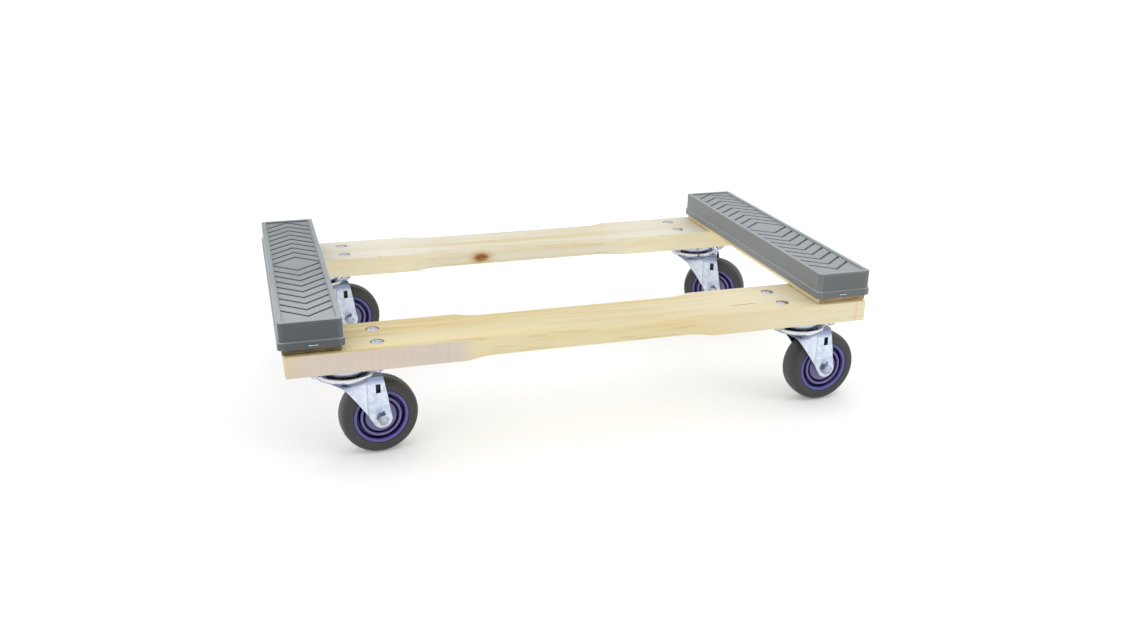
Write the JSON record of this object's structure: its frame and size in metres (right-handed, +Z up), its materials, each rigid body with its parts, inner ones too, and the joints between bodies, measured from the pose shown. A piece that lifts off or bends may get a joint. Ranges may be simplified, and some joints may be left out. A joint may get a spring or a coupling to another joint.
{
  "type": "furniture dolly",
  "caption": "Low furniture dolly: wooden deck of rails and end boards, chevron-ribbed rubber caps on the ends, and swivel casters with moulded hubs.",
  "frame": {"origin": "on the floor, under the centre of the bounding box at rest", "axes": "+X along the rails to the right, +Y from the front rail to the back rail, +Z up from the floor"},
  "size_m": [0.7842, 0.4572, 0.1979],
  "materials": {
    "hardwood": "planed pale hardwood under a thin clear sealer",
    "cap_rubber": "matt grey moulded rubber",
    "tyre_rubber": "smooth satin rubber tread",
    "hub_plastic": "satin moulded plastic",
    "zinc_steel": "bright zinc plating on pressed steel",
    "bright_steel": "plain turned steel"
  },
  "bodies": {
    "deck": {"rail_front": "hardwood", "rail_back": "hardwood", "end_board_left": "hardwood", "end_board_right": "hardwood", "rubber_cap_left": "cap_rubber", "rubber_cap_right": "cap_rubber", "staple_left": "zinc_steel", "staple_right": "zinc_steel", "carriage_bolt_front_left_1": "zinc_steel", "carriage_bolt_front_left_2": "zinc_steel", "carriage_bolt_front_left_3": "zinc_steel", "carriage_bolt_front_left_4": "zinc_steel", "top_plate_front_left": "zinc_steel", "kingpin_front_left": "bright_steel", "ball_ring_front_left": "bright_steel", "carriage_bolt_front_right_1": "zinc_steel", "carriage_bolt_front_right_2": "zinc_steel", "carriage_bolt_front_right_3": "zinc_steel", "carriage_bolt_front_right_4": "zinc_steel", "top_plate_front_right": "zinc_steel", "kingpin_front_right": "bright_steel", "ball_ring_front_right": "bright_steel", "carriage_bolt_back_left_1": "zinc_steel", "carriage_bolt_back_left_2": "zinc_steel", "carriage_bolt_back_left_3": "zinc_steel", "carriage_bolt_back_left_4": "zinc_steel", "top_plate_back_left": "zinc_steel", "kingpin_back_left": "bright_steel", "ball_ring_back_left": "bright_steel", "carriage_bolt_back_right_1": "zinc_steel", "carriage_bolt_back_right_2": "zinc_steel", "carriage_bolt_back_right_3": "zinc_steel", "carriage_bolt_back_right_4": "zinc_steel", "top_plate_back_right": "zinc_steel", "kingpin_back_right": "bright_steel", "ball_ring_back_right": "bright_steel"},
    "fork_front_left": {"yoke_front_left": "zinc_steel", "axle_bolt_front_left": "zinc_steel", "axle_nut_front_left": "zinc_steel", "axle_sleeve_front_left": "bright_steel"},
    "wheel_front_left": {"tyre_front_left": "tyre_rubber", "wheel_core_front_left": "hub_plastic"},
    "fork_front_right": {"yoke_front_right": "zinc_steel", "axle_bolt_front_right": "zinc_steel", "axle_nut_front_right": "zinc_steel", "axle_sleeve_front_right": "bright_steel"},
    "wheel_front_right": {"tyre_front_right": "tyre_rubber", "wheel_core_front_right": "hub_plastic"},
    "fork_back_left": {"yoke_back_left": "zinc_steel", "axle_bolt_back_left": "zinc_steel", "axle_nut_back_left": "zinc_steel", "axle_sleeve_back_left": "bright_steel"},
    "wheel_back_left": {"tyre_back_left": "tyre_rubber", "wheel_core_back_left": "hub_plastic"},
    "fork_back_right": {"yoke_back_right": "zinc_steel", "axle_bolt_back_right": "zinc_steel", "axle_nut_back_right": "zinc_steel", "axle_sleeve_back_right": "bright_steel"},
    "wheel_back_right": {"tyre_back_right": "tyre_rubber", "wheel_core_back_right": "hub_plastic"}
  },
  "joints": [
    {"name": "swivel_front_left", "type": "hinge", "parent": "deck", "child": "fork_front_left", "pos_m": [-0.3124, -0.182, 0.1292], "axis": [0, 0, 1], "continuous": true},
    {"name": "roll_front_left", "type": "hinge", "parent": "fork_front_left", "child": "wheel_front_left", "pos_m": [-0.27414, -0.17689, 0.05], "axis": [-0.1323, 0.9912, 0], "continuous": true},
    {"name": "swivel_front_right", "type": "hinge", "parent": "deck", "child": "fork_front_right", "pos_m": [0.3034, -0.182, 0.1292], "axis": [0, 0, 1], "continuous": true},
    {"name": "roll_front_right", "type": "hinge", "parent": "fork_front_right", "child": "wheel_front_right", "pos_m": [0.34192, -0.17951, 0.05], "axis": [-0.0645, 0.9979, 0], "continuous": true},
    {"name": "swivel_back_left", "type": "hinge", "parent": "deck", "child": "fork_back_left", "pos_m": [-0.3124, 0.182, 0.1292], "axis": [0, 0, 1], "continuous": true},
    {"name": "roll_back_left", "type": "hinge", "parent": "fork_back_left", "child": "wheel_back_left", "pos_m": [-0.27395, 0.18543, 0.05], "axis": [-0.0889, 0.996, 0], "continuous": true},
    {"name": "swivel_back_right", "type": "hinge", "parent": "deck", "child": "fork_back_right", "pos_m": [0.3034, 0.182, 0.1292], "axis": [0, 0, 1], "continuous": true},
    {"name": "roll_back_right", "type": "hinge", "parent": "fork_back_right", "child": "wheel_back_right", "pos_m": [0.33716, 0.16329, 0.05], "axis": [0.4848, 0.8746, 0], "continuous": true}
  ]
}
